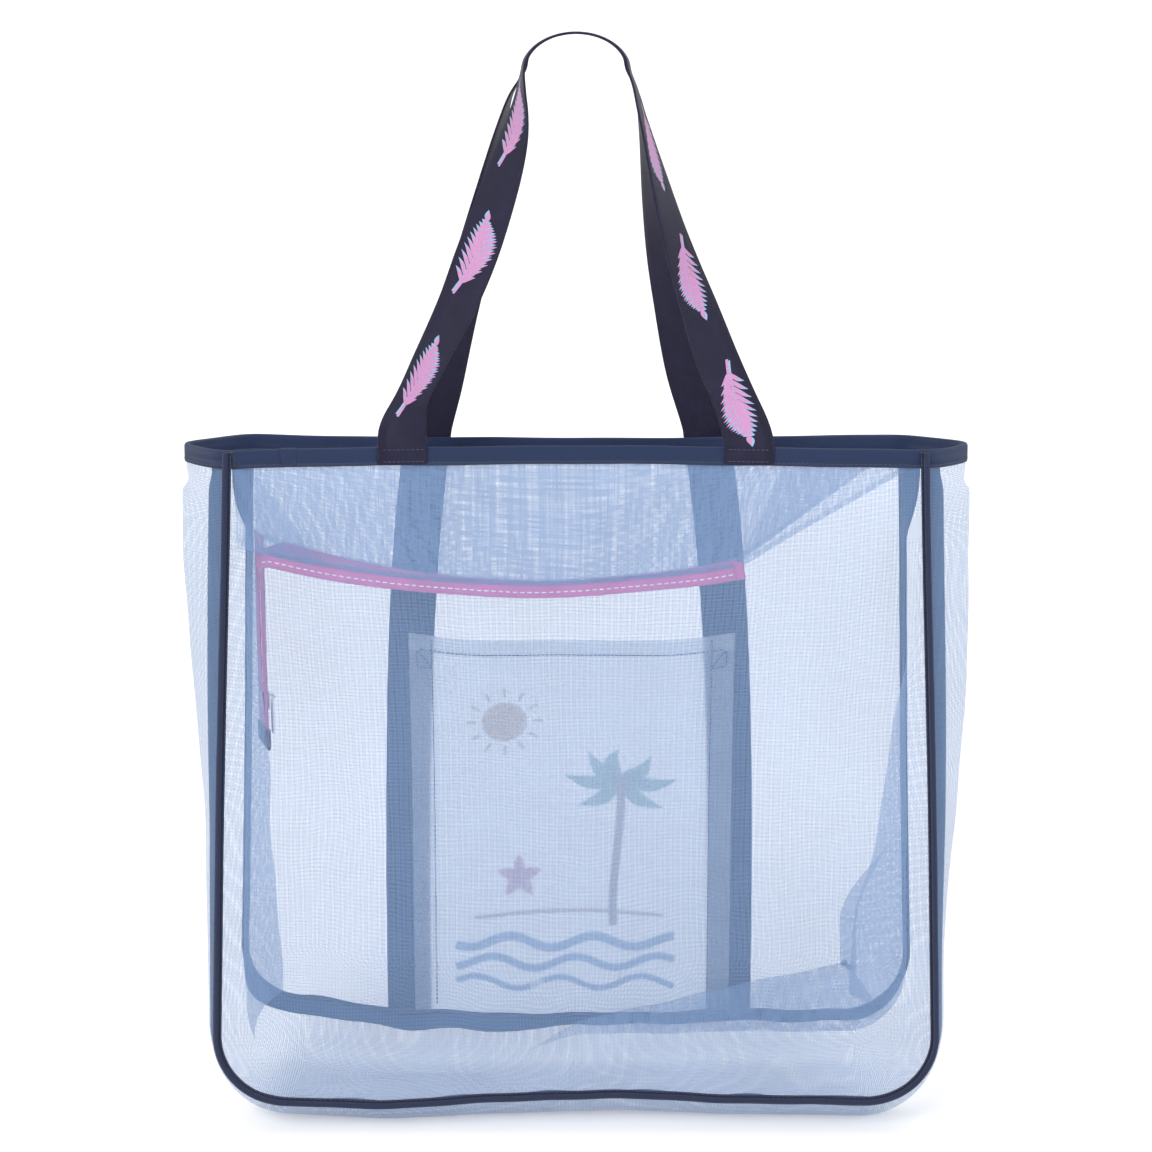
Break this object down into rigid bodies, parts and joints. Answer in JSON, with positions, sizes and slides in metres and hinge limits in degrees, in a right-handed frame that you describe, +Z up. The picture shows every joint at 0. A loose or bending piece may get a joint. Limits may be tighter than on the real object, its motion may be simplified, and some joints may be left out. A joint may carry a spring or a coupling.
{
  "type": "beach bag",
  "caption": "Open mesh beach tote with two webbing handles, a patch pocket, a bound mouth and a recessed zip closure.",
  "frame": {"origin": "on the floor under the middle of the bag", "axes": "+Z up, +X to the right of someone who looks at the plain back, +Y towards the pocket side"},
  "size_m": [0.5218, 0.12, 0.7302],
  "materials": {
    "mesh": "fine open mesh",
    "piping": "woven cord cover",
    "seam_tape": "plain woven tape",
    "binding": "twill tape",
    "zip_tape": "woven zip tape",
    "zip_coil": "nylon coil",
    "zip_metal": "plated zinc",
    "webbing": "flat woven webbing",
    "pocket_cloth": "plain printed cloth",
    "label": "blank woven label"
  },
  "bodies": {
    "bag": {"back_panel": "mesh", "front_panel": "mesh", "gusset_left": "mesh", "gusset_bottom": "mesh", "gusset_right": "mesh", "back_piping": "piping", "front_piping": "piping", "back_seam_tape": "seam_tape", "front_seam_tape": "seam_tape", "top_binding_back": "binding", "top_binding_front": "binding", "top_binding_left": "binding", "top_binding_right": "binding", "zip_panel_back": "mesh", "zip_panel_front": "mesh", "zip_tape_back": "zip_tape", "zip_tape_front": "zip_tape", "zip_coil_back": "zip_coil", "zip_coil_front": "zip_coil", "zip_bottom_stop": "zip_metal", "zip_tail_tab": "binding", "front_strap_left": "webbing", "front_strap_right": "webbing", "front_pocket": "pocket_cloth", "back_handle_end_left": "webbing", "back_handle_end_right": "webbing", "care_label": "label"},
    "back_handle": {"back_handle": "webbing"},
    "front_handle": {"front_handle": "webbing"},
    "zip_slider": {"zip_slider": "zip_metal"},
    "zip_pull": {"zip_pull": "zip_metal"}
  },
  "joints": [
    {"name": "back_handle_swing", "type": "hinge", "parent": "bag", "child": "back_handle", "pos_m": [0, -0.0311, 0.463], "axis": [1, 0, 0], "range_deg": [0, 165]},
    {"name": "front_handle_swing", "type": "hinge", "parent": "bag", "child": "front_handle", "pos_m": [0, 0.0319, 0.463], "axis": [-1, 0, 0], "range_deg": [0, 165]},
    {"name": "zip_slide", "type": "slide", "parent": "bag", "child": "zip_slider", "axis": [0, 0, 1], "range_m": [0, 0.095]},
    {"name": "zip_pull_swing", "type": "hinge", "parent": "zip_slider", "child": "zip_pull", "pos_m": [-0.20971, 0.01922, 0.283], "axis": [0.3584, -0.9336, 0], "range_deg": [0, 165]}
  ]
}
